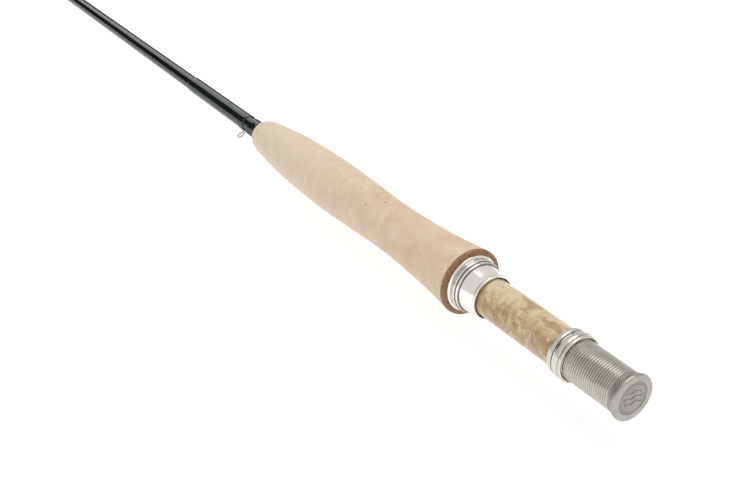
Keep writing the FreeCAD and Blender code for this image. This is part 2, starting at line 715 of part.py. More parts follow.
def build():
    fill_sheet()
    forms = [section_form(index) for index in range(len(SECTIONS))]
    butt_cap()
    cap_medallion()
    threaded_barrel()
    lock_nut()
    slide_hood()
    wood_insert()
    seat_arbors(forms[0])
    fixed_hood()
    check_ring()
    trim_ring(forms[0])
    cork_rings(forms[0])
    winding_check(forms[0])
    butt_blank(forms[0])
    keeper_wraps(forms[0], hook_keeper())
    for index in range(1, len(SECTIONS)):
        upper_blank(index, forms[index])
    ferrule_wraps(forms)
    stripping_guide()
    for number, (section, side, distance, loop_radius) in enumerate(SNAKE_GUIDES, start=1):
        snake_guide(number, section, side, distance, loop_radius)
    tip_top()
    DOC.recompute()


def check_and_write():
    for item in DOC.Objects:
        if "Invalid" in item.State or "Error" in item.State:
            raise RuntimeError("%s failed: %s" % (item.Name, item.State))
    for item in NODES:
        if item.Shape.isNull() or not item.Shape.isValid() or not item.Shape.Solids:
            raise RuntimeError("%s has no valid solid" % item.Label)
    os.makedirs("parts", exist_ok=True)
    for item in NODES:
        item.Shape.exportStep("parts/%s.step" % item.Label)
        box = item.Shape.BoundBox
        print("%-22s solids %d volume %10.2f  x %9.2f %9.2f  z %7.2f %7.2f"
              % (item.Label, len(item.Shape.Solids), item.Shape.Volume, box.XMin, box.XMax,
                 box.ZMin, box.ZMax))


build()
check_and_write()
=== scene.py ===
import math

import bpy
import numpy as np
from mathutils import Matrix, Vector


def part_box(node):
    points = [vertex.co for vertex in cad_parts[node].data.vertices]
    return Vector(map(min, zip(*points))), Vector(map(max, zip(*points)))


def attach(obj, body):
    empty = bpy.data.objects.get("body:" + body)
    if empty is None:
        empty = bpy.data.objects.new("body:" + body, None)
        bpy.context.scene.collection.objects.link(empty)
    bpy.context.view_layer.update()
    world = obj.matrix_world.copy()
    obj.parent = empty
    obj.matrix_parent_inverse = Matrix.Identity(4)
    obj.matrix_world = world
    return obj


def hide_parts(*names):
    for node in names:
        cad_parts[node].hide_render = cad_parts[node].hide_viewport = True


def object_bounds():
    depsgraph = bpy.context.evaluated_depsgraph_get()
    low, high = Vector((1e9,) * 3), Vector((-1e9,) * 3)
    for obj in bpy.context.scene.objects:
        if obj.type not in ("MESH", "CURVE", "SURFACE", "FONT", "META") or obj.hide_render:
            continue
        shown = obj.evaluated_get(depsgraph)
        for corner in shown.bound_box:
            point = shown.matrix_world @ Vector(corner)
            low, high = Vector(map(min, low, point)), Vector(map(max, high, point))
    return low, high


# A four-piece fly rod. x runs along the rod, and a station is the distance in millimetres
# from the butt face towards the tip, so a point at station s lies at x = -s.
# Around the rod, angles turn from +Y towards +Z.

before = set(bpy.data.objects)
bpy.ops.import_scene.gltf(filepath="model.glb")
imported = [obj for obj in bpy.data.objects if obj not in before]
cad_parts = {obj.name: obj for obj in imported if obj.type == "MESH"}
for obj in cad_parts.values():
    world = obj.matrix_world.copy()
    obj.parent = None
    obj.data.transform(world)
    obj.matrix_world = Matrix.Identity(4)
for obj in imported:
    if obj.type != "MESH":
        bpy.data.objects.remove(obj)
CAD_BOX = [list(map(float, corner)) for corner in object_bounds()]

MM = 0.001
RNG = np.random.default_rng(7)

# lengths in millimetres
THREAD_PITCH = 1.15
THREAD_DEPTH = 0.42
THREAD_START = 4.5
KNURL_COUNT = 60             # diagonal flutes round the flare of the butt cap
KNURL_SLOPE = 4.2            # how fast they wind along it, radians for each millimetre
KNURL_SPAN = (1.3, 4.4)      # stations where they start and end
MORTISE_OFFSET = 7.85
MORTISE_START = 22.0
MORTISE_END = 92.6
BARREL_BORE_RADIUS = 7.3
RUNNING_GAP = 0.05           # between the barrel and the rings that slide on it
SOCKET_GAP = 0.03            # between a section's end and the socket it goes into
KEEPER_SIDE = math.radians(210)
KEEPER_WIRE = 0.34           # radius
KEEPER_HEIGHT = 5.2          # of the loop, above the wire's feet
GUIDE_SIDE = math.radians(270)
CORK_RINGS = 14
CORK_BORE = 4.3              # radius
CORK_EASE = 0.035            # how far a ring's edges are eased
SNAKE_GUIDES = range(1, 8)

# linear colours
NICKEL = (0.47, 0.45, 0.42)
NICKEL_SHADE = (0.38, 0.365, 0.34)
# painted light: a raised base colour that makes the polished parts show brighter
POLISHED_WITH_PAINTED_LIGHT = (0.95, 0.93, 0.89)
# painted shade for the foot of the barrel's thread
ROOT_PAINTED_SHADE = (0.10, 0.09, 0.075)
# painted shade for grooves, joins between parts and the feet of knurling
RECESS_PAINTED_SHADE = (0.09, 0.085, 0.075)
CARBON_BLACK = (0.003, 0.0045, 0.005)
WHITE = (1.0, 1.0, 1.0, 1.0)
TENT_WHITE = (1.0, 0.995, 0.98, 1.0)

# the white tent: its opening lies where the heading's x is below the first number
TENT_EDGE = (-0.84, -0.66)
TENT_LIGHT = (0.035, 0.72)   # in the opening, and elsewhere
FLOOR_GLOW = 0.79
FLOOR_HALF = 30.0            # metres
# name, place and size in metres, power in watts
LIGHTS = [
    ("far_panel", (-2.55, 0.43, 1.19), (-0.4, 0, 0), (1.8, 0.8), 8),
    ("overhead", (-0.1, 0.25, 1.5), (-0.15, 0, 0), (1.4, 1.0), 8.5),
    ("front_low", (0.5, -1.4, 0.5), (-0.15, 0, 0), (1.2, 0.5), 1.0),
]
CAMERA_PLACE = (0.23984, -0.26977, 0.25932)
CAMERA_RIGHT = (0.5439, 0.8391, 0.0)
CAMERA_BACK = (0.7314, -0.4741, 0.4902)
CAMERA_LENS = 59.0


# ---------------------------------------------------------------- reading the frame

def stations(node):
    """First and last station of a CAD node."""
    low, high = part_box(node)
    return -high.x / MM, -low.x / MM


def width(node):
    """Diameter of a round CAD node."""
    low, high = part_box(node)
    return (high.y - low.y) / MM


def outer_profile(node, least):
    """Outside radius against station, read from a CAD node's vertices."""
    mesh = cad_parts[node].data
    points = np.empty(len(mesh.vertices) * 3)
    mesh.vertices.foreach_get("co", points)
    points = points.reshape(-1, 3) / MM
    place = np.round(-points[:, 0], 2)
    radius = np.hypot(points[:, 1], points[:, 2])
    keep = radius > least
    found = {}
    for s, r in zip(place[keep], radius[keep]):
        found[s] = max(r, found.get(s, 0.0))
    along = np.array(sorted(found))
    return along, np.array([found[s] for s in along])


# ---------------------------------------------------------------- building meshes

def new_object(name, points, faces, material, body, replaced=()):
    mesh = bpy.data.meshes.new(name)
    mesh.from_pydata(points, [], faces)
    mesh.polygons.foreach_set("use_smooth", [True] * len(mesh.polygons))
    mesh.update()
    piece = bpy.data.objects.new(name, mesh)
    bpy.context.scene.collection.objects.link(piece)
    mesh.materials.append(material)
    if replaced:
        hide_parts(*replaced)
    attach(piece, body)
    return piece


def grid_faces(rows, columns, loop_rows=True):
    """Quads over a grid whose columns always close; rows close when loop_rows is set."""
    last = rows if loop_rows else rows - 1
    i, j = np.meshgrid(np.arange(last), np.arange(columns), indexing="ij")
    a = i * columns + j
    b = i * columns + (j + 1) % columns
    c = ((i + 1) % rows) * columns + (j + 1) % columns
    d = ((i + 1) % rows) * columns + j
    return np.stack([a, b, c, d], axis=-1).reshape(-1, 4)


def round_off(corners, steps=5):
    """A closed profile of (station, radius, rounding) corners with each corner eased."""
    out = []
    count = len(corners)
    for index in range(count):
        s, r, size = corners[index]
        here = np.array([s, r], float)
        if size <= 0:
            out.append(here)
            continue
        before = np.array(corners[index - 1][:2], float) - here
        after = np.array(corners[(index + 1) % count][:2], float) - here
        reach_a = min(size, 0.45 * np.hypot(*before))
        reach_b = min(size, 0.45 * np.hypot(*after))
        start = here + before / np.hypot(*before) * reach_a
        end = here + after / np.hypot(*after) * reach_b
        for t in np.linspace(0, 1, steps):
            out.append((1 - t) ** 2 * start + 2 * t * (1 - t) * here + t ** 2 * end)
    return np.array(out)


def refine(profile, longest):
    """Splits the long runs of a closed profile so that the surface has points to move."""
    out = []
    for index, here in enumerate(profile):
        following = profile[(index + 1) % len(profile)]
        pieces = max(1, int(math.ceil(np.hypot(*(following - here)) / longest)))
        for step in range(pieces):
            out.append(here + (following - here) * step / pieces)
    return np.array(out)


def turned(name, profile, material, body, replaced, columns=128, shape=None):
    """A solid turned about the rod's axis from a closed (station, radius) profile.
    shape takes arrays of station, radius and angle and returns new ones, then y and z follow."""
    theta = np.linspace(0, 2 * math.pi, columns, endpoint=False)
    s, angle = np.meshgrid(profile[:, 0], theta, indexing="ij")
    r, _ = np.meshgrid(profile[:, 1], theta, indexing="ij")
    if shape:
        s, r = shape(s, r, angle)
    points = np.stack([-s, r * np.cos(angle), r * np.sin(angle)], axis=-1) * MM
    return solid_from_grid(name, points, material, body, replaced)


def signed_volume(points, faces):
    a, b, c, d = (points[faces[:, k]] for k in range(4))
    total = np.einsum("ij,ij->i", a, np.cross(b, c)).sum()
    return total + np.einsum("ij,ij->i", a, np.cross(c, d)).sum()


def solid_from_grid(name, points, material, body, replaced=()):
    rows, columns = points.shape[:2]
    faces = grid_faces(rows, columns)
    flat = points.reshape(-1, 3)
    if signed_volume(flat, faces) < 0:
        faces = faces[:, ::-1]
    piece = new_object(name, flat.tolist(), faces.tolist(), material, body, replaced)
    piece.data.set_sharp_from_angle(angle=math.radians(38))
    weighted = piece.modifiers.new("even shading", "WEIGHTED_NORMAL")
    weighted.keep_sharp = True
    return piece


def tube_along(name, path, radius, material, body, replaced=(), sides=20):
    """A round wire along a list of points, in metres; radius may be one number or a list."""
    path = np.asarray(path, float)
    radii = np.broadcast_to(np.asarray(radius, float), (len(path),))
    heading = np.gradient(path, axis=0)
    heading /= np.linalg.norm(heading, axis=1)[:, None]
    side = np.cross(heading[0], [0.3, 0.5, 0.8])
    side /= np.linalg.norm(side)
    rows = []
    for point, direction, size in zip(path, heading, radii):
        side = side - direction * np.dot(side, direction)
        side /= np.linalg.norm(side)
        up = np.cross(direction, side)
        turn = np.linspace(0, 2 * math.pi, sides, endpoint=False)[:, None]
        rows.append(point + size * (np.cos(turn) * side + np.sin(turn) * up))
    points = np.array(rows)
    faces = grid_faces(len(path), sides, loop_rows=False).tolist()
    flat = points.reshape(-1, 3).tolist()
    faces.append(list(range(sides))[::-1])
    faces.append([len(flat) - sides + k for k in range(sides)])
    piece = new_object(name, flat, faces, material, body, replaced)
    piece.data.set_sharp_from_angle(angle=math.radians(50))
    return piece


def smooth_cad(node, material):
    """Keeps a CAD node's shape, gives it the material and even shading."""
    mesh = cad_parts[node].data
    mesh.materials.clear()
    mesh.materials.append(material)
    if mesh.attributes.get("custom_normal"):
        mesh.attributes.remove(mesh.attributes["custom_normal"])
    mesh.polygons.foreach_set("use_smooth", [True] * len(mesh.polygons))
    mesh.set_sharp_from_angle(angle=math.radians(35))


# ---------------------------------------------------------------- material tools

class Finish:
    """One procedural material; its methods add nodes and return their output sockets."""

    def __init__(self, name, **settings):
        self.material = bpy.data.materials.new(name)
        self.material.use_nodes = True
        self.nodes = self.material.node_tree.nodes
        self.links = self.material.node_tree.links
        self.shader = self.nodes["Principled BSDF"]
        for key, number in settings.items():
            self.shader.inputs[key.replace("_", " ")].default_value = number
        place = self.nodes.new("ShaderNodeTexCoord").outputs["Object"]
        self.place = self.vector("MULTIPLY", place, (1 / MM, 1 / MM, 1 / MM))

    def put(self, socket, source):
        if isinstance(source, bpy.types.NodeSocket):
            self.links.new(source, socket)
        elif source is not None:
            socket.default_value = source

    def vector(self, operation, first, second):
        node = self.nodes.new("ShaderNodeVectorMath")
        node.operation = operation
        self.put(node.inputs[0], first)
        self.put(node.inputs[1], second)
        return node.outputs[0]

    def maths(self, operation, first, second=None, clamp=False):
        node = self.nodes.new("ShaderNodeMath")
        node.operation = operation
        node.use_clamp = clamp
        self.put(node.inputs[0], first)
        self.put(node.inputs[1], second)
        return node.outputs[0]

    def split(self, source):
        node = self.nodes.new("ShaderNodeSeparateXYZ")
        self.put(node.inputs[0], source)
        return node.outputs

    def join(self, x, y, z):
        node = self.nodes.new("ShaderNodeCombineXYZ")
        for socket, source in zip(node.inputs, (x, y, z)):
            self.put(socket, source)
        return node.outputs[0]

    def noise(self, scale, detail=3.0, rough=0.5, distort=0.0, place=None, stretch=None):
        node = self.nodes.new("ShaderNodeTexNoise")
        source = place or self.place
        if stretch:
            source = self.vector("MULTIPLY", source, stretch)
        self.put(node.inputs["Vector"], source)
        node.inputs["Scale"].default_value = scale
        node.inputs["Detail"].default_value = detail
        node.inputs["Roughness"].default_value = rough
        node.inputs["Distortion"].default_value = distort
        return node.outputs[0]

    def cells(self, scale, feature="F1", place=None, output="Distance"):
        node = self.nodes.new("ShaderNodeTexVoronoi")
        node.feature = feature
        self.put(node.inputs["Vector"], place or self.place)
        node.inputs["Scale"].default_value = scale
        return node.outputs[output]

    def ramp(self, source, stops):
        node = self.nodes.new("ShaderNodeValToRGB")
        elements = node.color_ramp.elements
        while len(elements) < len(stops):
            elements.new(0.5)
        for element, (position, color) in zip(elements, stops):
            element.position = position
            element.color = (*color, 1.0)
        self.put(node.inputs[0], source)
        return node.outputs[0]

    def mix(self, share, first, second):
        node = self.nodes.new("ShaderNodeMix")
        node.data_type = "RGBA"
        self.put(node.inputs["Factor"], share)
        for socket, source in zip((node.inputs[6], node.inputs[7]), (first, second)):
            color = (*source, 1.0) if isinstance(source, tuple) else source
            self.put(socket, color)
        return node.outputs[2]

    def between(self, source, low, high, new_low=0.0, new_high=1.0):
        node = self.nodes.new("ShaderNodeMapRange")
        node.interpolation_type = "SMOOTHSTEP"
        self.put(node.inputs[0], source)
        for index, number in enumerate((low, high, new_low, new_high), start=1):
            node.inputs[index].default_value = number
        return node.outputs[0]

    def bump(self, height, depth, strength=1.0):
        """A bump whose full height is depth millimetres."""
        node = self.nodes.new("ShaderNodeBump")
        node.inputs["Distance"].default_value = depth * MM
        node.inputs["Strength"].default_value = strength
        self.put(node.inputs["Height"], height)
        return node.outputs[0]

    def set(self, name, source):
        self.put(self.shader.inputs[name], source)


def metal(name, color, dark, rough, rough_spread, lines, root=None, grooves=(),
          hatch=None):
    """Nickel silver: fine turning lines, faint clouding and a little handling wear.
    root is the radius below which the metal is dull and dark with painted shade, as at the foot of
    a thread, grooves are the stations of turned grooves with painted shade in them, and hatch is
    the pair of stations between which diagonal knurling is darkened at its foot by painted shade."""
    finish = Finish(name, Metallic=1.0, Roughness=rough)
    x, y, z = finish.split(finish.place)
    cloud = finish.noise(0.25, 4, 0.6)
    fine = finish.noise(2.2, 3, 0.6)
    tone = finish.ramp(cloud, [(0.3, dark), (0.7, color)])
    radius = finish.maths("SQRT", finish.maths("ADD", finish.maths("MULTIPLY", y, y),
                                               finish.maths("MULTIPLY", z, z)))
    tone = finish.mix(finish.between(fine, 0.55, 0.8, 0.0, 0.25), tone, dark)
    # painted shade: darker below root, at the foot of the thread
    if root:
        tone = finish.mix(finish.between(radius, root, root + 0.3, 0.65, 0.0), tone, ROOT_PAINTED_SHADE)
    # painted shade: darker in the turned grooves and at the joins between parts
    for station in grooves:
        away = finish.maths("ABSOLUTE", finish.maths("ADD", x, station))
        tone = finish.mix(finish.between(away, 0.10, 0.26, 0.85, 0.0), tone, RECESS_PAINTED_SHADE)
    # painted shade: darker at the feet of the diagonal knurling
    if hatch:
        turn = finish.maths("MULTIPLY", finish.maths("ARCTAN2", z, y), float(KNURL_COUNT))
        wave = finish.maths("SINE", finish.maths("ADD", turn,
                                                 finish.maths("MULTIPLY", x, -KNURL_SLOPE)))
        inside = finish.maths("MULTIPLY", finish.between(x, -hatch[1], 0.2 - hatch[1]),
                              finish.between(x, -0.2 - hatch[0], -hatch[0], 1.0, 0.0))
        foot_painted_shade = finish.between(wave, -0.9, 0.2, 0.6, 0.0)
        tone = finish.mix(finish.maths("MULTIPLY", inside, foot_painted_shade), tone, RECESS_PAINTED_SHADE)
    finish.set("Base Color", tone)
    rings = finish.noise(1.0, 2, 0.5, place=finish.join(finish.maths("MULTIPLY", x, 9.0),
                                                        finish.maths("MULTIPLY", radius, 9.0),
                                                        0.0))
    spread = finish.maths("MULTIPLY", finish.maths("SUBTRACT", cloud, 0.5), rough_spread)
    finish.set("Roughness", finish.maths("ADD", spread, rough, clamp=True))
    finish.set("Normal", finish.bump(rings, lines))
    return finish.material


def cork_material(first_station, ring_width):
    """Fine cork: soft blotches, a tone for each ring, thin seams, grain and small pits."""
    finish = Finish("cork", Roughness=0.72)
    finish.shader.inputs["Specular IOR Level"].default_value = 0.35
    x, _, _ = finish.split(finish.place)
    along = finish.maths("DIVIDE", finish.maths("SUBTRACT", finish.maths("MULTIPLY", x, -1.0),
                                                first_station), ring_width)
    number = finish.maths("FLOOR", along)
    tone = finish.nodes.new("ShaderNodeTexWhiteNoise")
    tone.noise_dimensions = "1D"
    finish.put(tone.inputs["W"], finish.maths("ADD", number, 0.37))
    shift = finish.join(finish.maths("MULTIPLY", tone.outputs["Value"], 40.0), 0.0, number)
    place = finish.vector("ADD", finish.place, shift)
    blotch = finish.noise(0.085, 5, 0.55, 0.6, place=place)
    base = finish.ramp(blotch, [(0.30, (0.63, 0.475, 0.33)), (0.50, (0.70, 0.55, 0.40)),
                                (0.72, (0.76, 0.63, 0.48))])
    ring_tone = finish.between(tone.outputs["Value"], 0.0, 1.0, 0.0, 0.22)
    base = finish.mix(ring_tone, base, (0.70, 0.51, 0.35))
    base = finish.mix(finish.between(along, 3.0, 13.0, 0.0, 0.45), base, (0.84, 0.74, 0.60))
    grain = finish.noise(1.3, 4, 0.65, place=place)
    base = finish.mix(finish.between(grain, 0.52, 0.78, 0.0, 0.30), base, (0.50, 0.33, 0.20))
    speck = finish.between(finish.noise(0.9, 2, 0.5, 0.8, place=place), 0.66, 0.74)
    base = finish.mix(finish.maths("MULTIPLY", speck, 0.35), base, (0.40, 0.24, 0.13))
    pit = pit_mask(finish, place)
    base = finish.mix(finish.maths("MULTIPLY", pit, 0.8), base, (0.20, 0.10, 0.045))
    inside = finish.maths("FRACT", along)
    edge = finish.maths("MINIMUM", inside, finish.maths("SUBTRACT", 1.0, inside))
    seam = finish.between(edge, 0.004, 0.016, 0.17, 0.0)
    base = finish.mix(seam, base, (0.42, 0.27, 0.16))
    finish.set("Base Color", base)
    height = finish.maths("SUBTRACT", finish.maths("MULTIPLY", grain, -0.25),
                          finish.maths("ADD", pit, finish.maths("MULTIPLY", speck, 0.3)))
    finish.set("Normal", finish.bump(height, 0.12))
    finish.set("Roughness", finish.between(grain, 0.3, 0.8, 0.62, 0.85))
    return finish.material


def pit_mask(finish, place):
    """A few small dark pores, longer across the ring than along it."""
    stretched = finish.vector("MULTIPLY", place, (1.6, 1.0, 1.0))
    distance = finish.cells(0.16, place=stretched)
    chance = finish.cells(0.16, place=stretched, output="Color")
    red, green, _ = finish.split(chance)
    chosen = finish.between(red, 0.50, 0.54)
    size = finish.maths("MULTIPLY", green, 0.07)
    inner = finish.maths("SUBTRACT", finish.maths("ADD", size, 0.06), distance)
    return finish.maths("MULTIPLY", finish.between(inner, 0.0, 0.04), chosen)


def burl_material():
    """Lacquered figured maple: cream ground, curved bands of brown flame and darker eyes, with
    painted light on one side and painted shade on the other.
    """
    finish = Finish("burl_maple", Roughness=0.42, Coat_Weight=0.35, Coat_Roughness=0.12)
    x, y, z = finish.split(finish.place)
    warp = finish.noise(0.10, 3, 0.55)
    ripple = finish.noise(0.42, 3, 0.6)
    bow = finish.maths("MULTIPLY", finish.maths("MULTIPLY", z, z), 0.045)
    phase = finish.maths("ADD", finish.maths("ADD", x, bow), finish.maths("MULTIPLY", warp, 14.0))
    phase = finish.maths("ADD", phase, finish.maths("MULTIPLY", ripple, 3.0))
    band = finish.between(finish.maths("SINE", finish.maths("MULTIPLY", phase, 1.25)), -0.2, 0.8)
    patch = finish.noise(0.085, 3, 0.55, 0.8)
    mottle = finish.noise(0.30, 4, 0.62, 1.0)
    base = finish.ramp(mottle, [(0.30, (0.46, 0.325, 0.17)), (0.45, (0.57, 0.435, 0.265)),
                                (0.58, (0.67, 0.535, 0.345)), (0.72, (0.79, 0.68, 0.50))])
    figured = finish.between(patch, 0.42, 0.60, 0.95, 0.15)
    base = finish.mix(finish.maths("MULTIPLY", band, figured), base, (0.36, 0.21, 0.075))
    butt_half = finish.between(x, -78.0, -50.0)
    amber = finish.between(finish.noise(0.12, 2, 0.5, 0.5, stretch=(1.3, 0.8, 0.8)), 0.40, 0.62)
    amber = finish.maths("MULTIPLY", finish.maths("MULTIPLY", amber, butt_half), 0.75)
    base = finish.mix(amber, base, (0.42, 0.255, 0.10))
    flame = finish.maths("SINE", finish.maths("MULTIPLY", phase, 2.6))
    flame = finish.maths("MULTIPLY", finish.between(flame, 0.35, 0.95),
                         finish.between(patch, 0.50, 0.60))
    flame = finish.maths("MULTIPLY", flame, finish.between(x, -84.0, -60.0, 0.25, 0.75))
    base = finish.mix(flame, base, (0.30, 0.165, 0.055))
    # painted light and painted shade: lighter towards +y and +z, darker towards -y and -z
    side = finish.maths("ADD", y, z)
    base = finish.mix(finish.between(side, -3.0, 7.0, 0.0, 0.5), base, (0.80, 0.68, 0.48))
    base = finish.mix(finish.between(side, -12.0, -2.0, 0.35, 0.0), base, (0.42, 0.28, 0.13))
    core = finish.between(finish.noise(0.16, 2, 0.5, 0.6, stretch=(0.8, 1.0, 1.0)), 0.50, 0.66,
                          0.0, 0.75)
    base = finish.mix(core, base, (0.34, 0.21, 0.08))
    sheen = finish.between(finish.noise(0.8, 3, 0.6, 1.5, stretch=(1.3, 0.5, 0.5)), 0.56, 0.70)
    base = finish.mix(finish.maths("MULTIPLY", sheen, 0.6), base, (0.84, 0.76, 0.62))
    drift = finish.vector("MULTIPLY", finish.join(warp, ripple, warp), (9.0, 5.0, 7.0))
    eye = finish.cells(0.20, feature="SMOOTH_F1", place=finish.vector("ADD", finish.place, drift))
    base = finish.mix(finish.between(eye, 0.10, 0.26, 0.5, 0.0), base, (0.29, 0.165, 0.065))
    fibre = finish.noise(1.6, 3, 0.6, stretch=(0.35, 1.0, 1.0))
    base = finish.mix(finish.between(fibre, 0.5, 0.75, 0.0, 0.2), base, (0.40, 0.26, 0.12))
    finish.set("Base Color", base)
    finish.set("Normal", finish.bump(fibre, 0.02))
    finish.set("Roughness", finish.between(fibre, 0.3, 0.7, 0.24, 0.38))
    return finish.material


def trim_material():
    """Dense rubberised cork: brown with fine dark and pale crumbs."""
    finish = Finish("rubber_cork", Roughness=0.55)
    crumb = finish.cells(1.4, output="Color")
    red, _, _ = finish.split(crumb)
    base = finish.ramp(red, [(0.05, (0.19, 0.095, 0.046)), (0.35, (0.285, 0.150, 0.075)),
                             (0.75, (0.325, 0.175, 0.090)), (0.97, (0.40, 0.235, 0.130))])
    soft = finish.noise(0.4, 3, 0.6)
    finish.set("Base Color", finish.mix(finish.between(soft, 0.35, 0.7, 0.0, 0.35), base,
                                        (0.21, 0.105, 0.058)))
    finish.set("Normal", finish.bump(finish.noise(2.4, 3, 0.6), 0.06))
    return finish.material


def graphite_material():
    """Clear-coated carbon: near black, the wound tape just visible under the gloss."""
    finish = Finish("graphite", Roughness=0.45, Coat_Weight=1.0, Coat_Roughness=0.07,
                    Coat_IOR=1.5)
    finish.shader.inputs["Specular IOR Level"].default_value = 0.0
    x, y, z = finish.split(finish.place)
    around = finish.maths("ARCTAN2", z, y)
    wind = finish.maths("SINE", finish.maths("ADD", finish.maths("MULTIPLY", x, 1.9), around))
    fibre = finish.noise(0.9, 3, 0.6, stretch=(0.08, 1.6, 1.6))
    tone = finish.mix(finish.between(fibre, 0.35, 0.7), CARBON_BLACK,
                      (0.009, 0.012, 0.0135))
    finish.set("Base Color", tone)
    finish.set("Normal", finish.bump(wind, 0.004))
    finish.set("Roughness", finish.between(fibre, 0.3, 0.75, 0.38, 0.52))
    return finish.material


def thread_material():
    """Dark thread lying turn against turn under a thick clear coat."""
    finish = Finish("thread_wrap", Roughness=0.5, Coat_Weight=1.0, Coat_Roughness=0.05,
                    Coat_IOR=1.5)
    finish.shader.inputs["Specular IOR Level"].default_value = 0.0
    x, _, _ = finish.split(finish.place)
    turns = finish.maths("SINE", finish.maths("MULTIPLY", x, 2 * math.pi / 0.19))
    strand = finish.noise(0.8, 3, 0.6, stretch=(3.0, 0.6, 0.6))
    tone = finish.mix(finish.between(turns, -0.8, 0.6), CARBON_BLACK,
                      (0.010, 0.014, 0.0155))
    tone = finish.mix(finish.between(strand, 0.5, 0.8, 0.0, 0.3), tone, (0.030, 0.038, 0.040))
    finish.set("Base Color", tone)
    finish.set("Normal", finish.bump(turns, 0.03, 0.6))
    finish.set("Coat Normal", finish.bump(finish.noise(0.35, 2, 0.5), 0.05, 0.5))
    return finish.material


def wire_material():
    """Bright stainless wire with faint drawing lines."""
    finish = Finish("guide_wire", Metallic=1.0, Roughness=0.16)
    haze = finish.noise(1.5, 3, 0.6)
    finish.set("Base Color", finish.mix(finish.between(haze, 0.4, 0.8), (0.36, 0.36, 0.355),
                                        (0.25, 0.25, 0.245)))
    finish.set("Roughness", finish.between(haze, 0.3, 0.8, 0.12, 0.24))
    finish.set("Normal", finish.bump(finish.noise(3.0, 2, 0.5), 0.01))
    return finish.material


def ceramic_material():
    finish = Finish("ceramic_liner", Roughness=0.12, Coat_Weight=0.6, Coat_Roughness=0.03)
    cloud = finish.noise(0.8, 3, 0.6)
    finish.set("Base Color", finish.mix(finish.between(cloud, 0.3, 0.7), (0.022, 0.023, 0.026),
                                        (0.045, 0.046, 0.050)))
    finish.set("Normal", finish.bump(cloud, 0.01))
    return finish.material


def arbor_material():
    finish = Finish("arbor_foam", Roughness=0.9)
    cell = finish.cells(2.0)
    finish.set("Base Color", finish.ramp(cell, [(0.1, (0.50, 0.43, 0.31)),
                                                (0.6, (0.66, 0.59, 0.45))]))
    finish.set("Normal", finish.bump(cell, 0.2))
    return finish.material


def floor_material():
    finish = Finish("pale_floor", Roughness=0.9)
    soft = finish.noise(0.004, 2, 0.5)
    finish.set("Base Color", finish.mix(finish.between(soft, 0.3, 0.7), (0.30, 0.30, 0.30),
                                        (0.32, 0.32, 0.32)))
    finish.shader.inputs["Emission Color"].default_value = WHITE
    finish.shader.inputs["Emission Strength"].default_value = FLOOR_GLOW
    return finish.material


# ---------------------------------------------------------------- reel seat

def flat_for_reel(start, end):
    """Planes the guide side flat between two stations, where the reel's foot lies."""
    def shape(s, r, angle):
        drop = -np.sin(angle)
        inside = (s > start) & (s < end) & (drop > 0.05)
        limit = np.where(inside, MORTISE_OFFSET / np.maximum(drop, 0.05), 1e9)
        return s, np.minimum(r, limit)
    return shape


def make_cap(material):
    """Butt cap: rounded rim, sunk end face, knurled flare and spigot."""
    last = stations("butt_cap")[1]
    rim = width("butt_cap") / 2
    well = width("cap_medallion") / 2 + 0.04
    barrel = width("threaded_barrel") / 2
    shoulder = stations("threaded_barrel")[0]
    profile = round_off([
        (0.9, 0.02, 0), (0.9, well, 0.0), (0.0, well, 0.18), (0.0, rim, 0.75), (1.5, rim, 0.75),
        (2.35, barrel + 0.38, 0.8), (shoulder, barrel, 0.0), (shoulder, 7.2, 0.0),
        (last, 7.2, 0.3), (last, 4.6, 0.0), (shoulder, 4.6, 0.0), (shoulder, 0.02, 0.0),
    ])
    profile = refine(profile, 0.35)

    def knurl(s, r, angle):
        start, end = KNURL_SPAN
        flare = np.clip((s - start) / 0.35, 0, 1) * np.clip((end - s) / 0.35, 0, 1)
        wave = np.sin(KNURL_COUNT * angle + KNURL_SLOPE * s)
        return s, np.where(r > 8.3, r - 0.12 * flare * (0.5 - 0.5 * wave), r)

    turned("butt_cap_shell", profile, material, "root", ["butt_cap"], columns=512, shape=knurl)


def make_medallion(material, sunk):
    """A disc with a bevelled edge, a ring groove and three waves in low relief."""
    edge = width("cap_medallion") / 2 - 0.02
    profile = round_off([
        (0.88, 0.02, 0), (0.88, edge, 0.1), (0.06, edge, 0.25),
        (0.04, edge - 0.56, 0.05), (0.22, edge - 0.66, 0.05), (0.22, edge - 0.91, 0.05),
        (0.05, edge - 1.01, 0.05), (0.05, 0.02, 0),
    ])
    turned("medallion_disc", refine(profile, 0.4), sunk, "root", ["cap_medallion"],
           columns=192)
    for number, height in enumerate((-2.3, 0.0, 2.3)):
        half = math.sqrt(5.0 ** 2 - height ** 2) - 0.3
        across = np.linspace(-half, half, 60)
        rise = height + 0.5 * np.sin(across * 2 * math.pi / 4.4)
        taper = np.clip((half - np.abs(across)) / 1.2, 0.15, 1.0) ** 0.5
        path = np.stack([np.full(60, 0.0), across, rise], axis=-1) * MM
        tube_along("medallion_wave_%d" % (number + 1), path, 0.36 * MM * taper, material, "root",
                   sides=12)


def make_barrel(material):
    """Barrel with a right-hand helical thread that fades out at each end."""
    first, last = stations("threaded_barrel")
    radius = width("threaded_barrel") / 2
    profile = round_off([(first, BARREL_BORE_RADIUS, 0), (first, radius, 0.0), (last, radius, 0.3),
                         (last, BARREL_BORE_RADIUS, 0)])
    profile = refine(profile, THREAD_PITCH / 9)
    plane = flat_for_reel(MORTISE_START, last + 1)

    def thread(s, r, angle):
        phase = s / THREAD_PITCH + angle / (2 * math.pi)
        ridge = 0.5 + 0.5 * np.cos(2 * math.pi * phase)
        groove = 1 - np.clip(ridge * 1.75, 0, 1) ** 0.8
        fade = np.clip((s - THREAD_START + 0.4) / 0.8, 0, 1) * np.clip((last - 0.5 - s) / 0.8, 0, 1)
        cut = np.where(r > 8.4, THREAD_DEPTH * groove * fade, 0)
        return plane(s, r - cut, angle)

    turned("barrel_thread", profile, material, "root", ["threaded_barrel"], columns=160,
           shape=thread)


